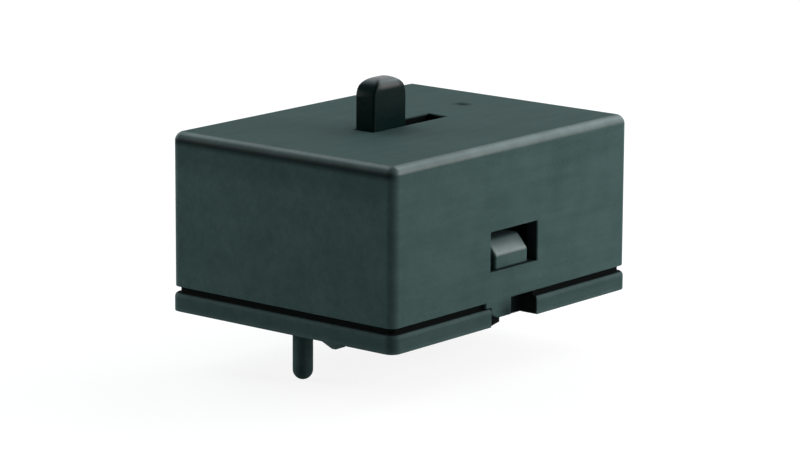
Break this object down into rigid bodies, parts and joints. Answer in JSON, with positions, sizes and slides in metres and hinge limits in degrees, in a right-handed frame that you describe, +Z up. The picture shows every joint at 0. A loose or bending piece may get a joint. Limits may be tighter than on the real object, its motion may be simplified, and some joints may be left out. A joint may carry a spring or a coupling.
{
  "type": "power tool slide switch",
  "caption": "Rectangular slide switch for a power tool: a knob slides in a slot on top of a push-fit cover; below are wire ports and a locating pin.",
  "frame": {"origin": "centre of the underside of the base plate", "axes": "+X along the knob's travel, from OFF towards ON; +Z up out of the roof, with the snap hook that has the key tab facing -Y"},
  "size_m": [0.0352, 0.027, 0.0268],
  "materials": {
    "cover_plastic": "fine moulded grain",
    "base_plastic": "fine moulded grain",
    "knob_plastic": "smooth moulded",
    "shutter_film": "smooth film",
    "plunger_plastic": "natural acetal",
    "spring_steel": "drawn wire",
    "rocker_copper": "rolled copper",
    "contact_silver": "turned silver alloy",
    "terminal_brass": "pressed strip",
    "clamp_steel": "stainless strip"
  },
  "bodies": {
    "housing": {"cover": "cover_plastic", "base": "base_plastic", "common_terminal_a": "terminal_brass", "common_terminal_b": "terminal_brass", "fixed_terminal_a": "terminal_brass", "fixed_terminal_b": "terminal_brass", "fixed_contact_a": "contact_silver", "fixed_contact_b": "contact_silver", "clamp_spring_common_a": "clamp_steel", "clamp_spring_common_b": "clamp_steel", "clamp_spring_fixed_a": "clamp_steel", "clamp_spring_fixed_b": "clamp_steel"},
    "slider": {"slider": "knob_plastic", "dust_shutter": "shutter_film", "plunger_spring_a": "spring_steel", "plunger_spring_b": "spring_steel"},
    "plunger_a": {"plunger_a": "plunger_plastic"},
    "plunger_b": {"plunger_b": "plunger_plastic"},
    "rocker_a": {"rocker_a": "rocker_copper", "moving_contact_a": "contact_silver"},
    "rocker_b": {"rocker_b": "rocker_copper", "moving_contact_b": "contact_silver"}
  },
  "joints": [
    {"name": "slider_slide", "type": "slide", "parent": "housing", "child": "slider", "axis": [1, 0, 0], "range_m": [0, 0.006]},
    {"name": "rocker_a_tilt", "type": "hinge", "parent": "housing", "child": "rocker_a", "pos_m": [0, -0.0058, 0.008], "axis": [0, 1, 0], "range_deg": [0, 12]},
    {"name": "plunger_a_slide", "type": "slide", "parent": "slider", "child": "plunger_a", "axis": [0, 0, 1], "range_m": [0, 0.0005], "stiffness_N_per_m": 400, "springref_m": -0.002, "deforming": ["plunger_spring_a"]},
    {"name": "rocker_b_tilt", "type": "hinge", "parent": "housing", "child": "rocker_b", "pos_m": [0, 0.0058, 0.008], "axis": [0, 1, 0], "range_deg": [0, 12]},
    {"name": "plunger_b_slide", "type": "slide", "parent": "slider", "child": "plunger_b", "axis": [0, 0, 1], "range_m": [0, 0.0005], "stiffness_N_per_m": 400, "springref_m": -0.002, "deforming": ["plunger_spring_b"]}
  ],
  "couplings": [
    {"joint": "rocker_a_tilt", "follows": "slider_slide", "rad_per_m": 34.907},
    {"joint": "rocker_b_tilt", "follows": "slider_slide", "rad_per_m": 34.907}
  ]
}
